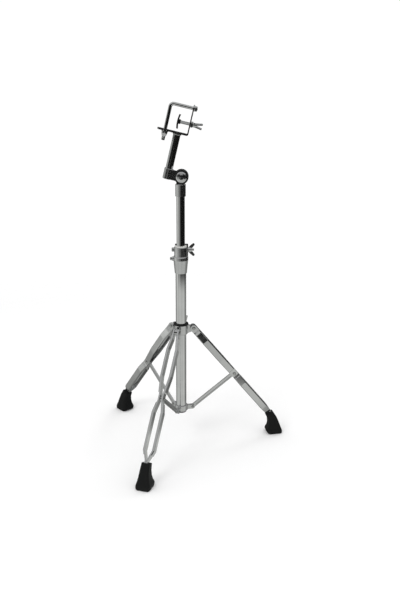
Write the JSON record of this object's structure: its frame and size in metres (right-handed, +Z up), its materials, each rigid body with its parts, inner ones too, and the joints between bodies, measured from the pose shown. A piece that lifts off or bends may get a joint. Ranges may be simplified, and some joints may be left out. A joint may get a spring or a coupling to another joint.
{
  "type": "bongo stand",
  "caption": "Folding double-braced tripod stand with telescoping column, ratchet tilter and a screw clamp bracket for a pair of bongos.",
  "frame": {"origin": "middle of the footprint of the feet, on the floor", "axes": "+Z up the column, +X to the right as seen from the front, +Y to the back"},
  "size_m": [0.5006, 0.5178, 0.9446],
  "materials": {
    "black_nylon": "satin black nylon",
    "cast_chrome": "chrome plate on die casting",
    "chrome": "bright chrome plate on drawn tube and plate",
    "pressed_chrome": "chrome plate on pressed sheet",
    "rubber": "moulded black rubber",
    "white_nylon": "natural nylon",
    "zinc_plate": "plated hardware"
  },
  "bodies": {
    "column": {"base_tube": "chrome", "base_plug": "black_nylon", "lower_collar": "cast_chrome", "height_clamp": "cast_chrome", "clamp_bolt": "zinc_plate", "clamp_set_screw": "zinc_plate", "brace_1_pin": "zinc_plate", "brace_2_pin": "zinc_plate", "brace_3_pin": "zinc_plate"},
    "collar": {"leg_collar": "cast_chrome", "collar_bush": "black_nylon", "leg_1_hinge_pin": "zinc_plate", "leg_2_hinge_pin": "zinc_plate", "leg_3_hinge_pin": "zinc_plate"},
    "leg_1": {"leg_1_strip_left": "pressed_chrome", "leg_1_strip_right": "pressed_chrome", "leg_1_rivet_left": "zinc_plate", "leg_1_rivet_right": "zinc_plate", "leg_1_foot": "rubber"},
    "brace_1": {"brace_1": "pressed_chrome"},
    "leg_2": {"leg_2_strip_left": "pressed_chrome", "leg_2_strip_right": "pressed_chrome", "leg_2_rivet_left": "zinc_plate", "leg_2_rivet_right": "zinc_plate", "leg_2_foot": "rubber"},
    "brace_2": {"brace_2": "pressed_chrome"},
    "leg_3": {"leg_3_strip_left": "pressed_chrome", "leg_3_strip_right": "pressed_chrome", "leg_3_rivet_left": "zinc_plate", "leg_3_rivet_right": "zinc_plate", "leg_3_foot": "rubber"},
    "brace_3": {"brace_3": "pressed_chrome"},
    "bushing": {"height_bush": "white_nylon"},
    "mast": {"upper_tube": "chrome", "tilter_sleeve": "cast_chrome", "tilter_bolt": "cast_chrome"},
    "head": {"tilter_arm": "cast_chrome", "post": "chrome", "post_set_screw": "zinc_plate", "bracket_plate": "chrome", "bracket_screw": "zinc_plate", "clamp_screw_nut": "zinc_plate"},
    "rod": {"clamp_rod": "chrome", "rod_end_washer": "zinc_plate", "rod_end_nut": "zinc_plate", "rod_washer": "zinc_plate"},
    "rod_nut": {"rod_wing_nut": "cast_chrome"},
    "shoe": {"pressure_shoe": "black_nylon"},
    "screw": {"clamp_screw": "cast_chrome"},
    "collar_bolt": {"collar_wing_bolt": "cast_chrome"},
    "clamp_nut": {"clamp_wing_nut": "cast_chrome"},
    "tilter_nut": {"tilter_wing_nut": "cast_chrome"}
  },
  "joints": [
    {"name": "collar_slide", "type": "slide", "parent": "column", "child": "collar", "axis": [0, 0, 1], "range_m": [0, 0.09793]},
    {"name": "leg_1_hinge", "type": "hinge", "parent": "collar", "child": "leg_1", "pos_m": [-0.00938, 0.03275, 0.3395], "axis": [-0.1959, 0.9806, 0], "range_deg": [0, 34.01]},
    {"name": "brace_1_hinge", "type": "hinge", "parent": "column", "child": "brace_1", "pos_m": [-0.01135, 0.03236, 0.1031], "axis": [0.1959, -0.9806, 0], "range_deg": [0, 45.14]},
    {"name": "leg_2_hinge", "type": "hinge", "parent": "collar", "child": "leg_2", "pos_m": [-0.06517, 0.05163, 0.3395], "axis": [-0.7513, -0.66, 0], "range_deg": [0, 34.01]},
    {"name": "brace_2_hinge", "type": "hinge", "parent": "column", "child": "brace_2", "pos_m": [-0.06385, 0.05013, 0.1031], "axis": [0.7513, 0.66, 0], "range_deg": [0, 45.14]},
    {"name": "leg_3_hinge", "type": "hinge", "parent": "collar", "child": "leg_3", "pos_m": [-0.05363, -0.00612, 0.3395], "axis": [0.9472, -0.3206, 0], "range_deg": [0, 34.01]},
    {"name": "brace_3_hinge", "type": "hinge", "parent": "column", "child": "brace_3", "pos_m": [-0.05298, -0.00423, 0.1031], "axis": [-0.9472, 0.3206, 0], "range_deg": [0, 45.14]},
    {"name": "height_swivel", "type": "hinge", "parent": "column", "child": "bushing", "pos_m": [-0.04272, 0.02608, 0.5555], "axis": [0, 0, 1], "continuous": true},
    {"name": "height_slide", "type": "slide", "parent": "bushing", "child": "mast", "axis": [0, 0, 1], "range_m": [-0.125, 0.17]},
    {"name": "tilt_hinge", "type": "hinge", "parent": "mast", "child": "head", "pos_m": [-0.04022, 0.02608, 0.7565], "axis": [0, 1, 0], "range_deg": [-30, 75]},
    {"name": "rod_hinge", "type": "hinge", "parent": "head", "child": "rod", "pos_m": [-0.00008, 0.02608, 0.92632], "axis": [-0.9732, 0, 0.23], "range_deg": [0, 120]},
    {"name": "shoe_slide", "type": "slide", "parent": "head", "child": "shoe", "axis": [0.9732, 0, -0.23], "range_m": [0, 0.0225]},
    {"name": "screw_turn", "type": "hinge", "parent": "shoe", "child": "screw", "pos_m": [-0.00928, 0.02608, 0.88739], "axis": [0.9732, 0, -0.23], "range_deg": [0, 6500]},
    {"name": "collar_bolt_turn", "type": "hinge", "parent": "collar", "child": "collar_bolt", "pos_m": [-0.04272, 0.02608, 0.3425], "axis": [0.3206, 0.9472, 0], "continuous": true},
    {"name": "clamp_nut_turn", "type": "hinge", "parent": "column", "child": "clamp_nut", "pos_m": [-0.02343, 0.05308, 0.5555], "axis": [1, 0, 0], "continuous": true},
    {"name": "tilter_nut_turn", "type": "hinge", "parent": "mast", "child": "tilter_nut", "pos_m": [-0.04022, 0.02608, 0.7565], "axis": [0, 1, 0], "continuous": true},
    {"name": "rod_nut_turn", "type": "hinge", "parent": "rod", "child": "rod_nut", "pos_m": [-0.08521, 0.02608, 0.85962], "axis": [0.23, 0, 0.9732], "continuous": true}
  ],
  "couplings": [
    {"joint": "leg_1_hinge", "follows": "collar_slide", "rad_per_m": 6.0595},
    {"joint": "brace_1_hinge", "follows": "collar_slide", "rad_per_m": 8.0428},
    {"joint": "leg_2_hinge", "follows": "collar_slide", "rad_per_m": 6.0595},
    {"joint": "brace_2_hinge", "follows": "collar_slide", "rad_per_m": 8.0428},
    {"joint": "leg_3_hinge", "follows": "collar_slide", "rad_per_m": 6.0595},
    {"joint": "brace_3_hinge", "follows": "collar_slide", "rad_per_m": 8.0428},
    {"joint": "screw_turn", "follows": "shoe_slide", "rad_per_m": 5026.5}
  ]
}
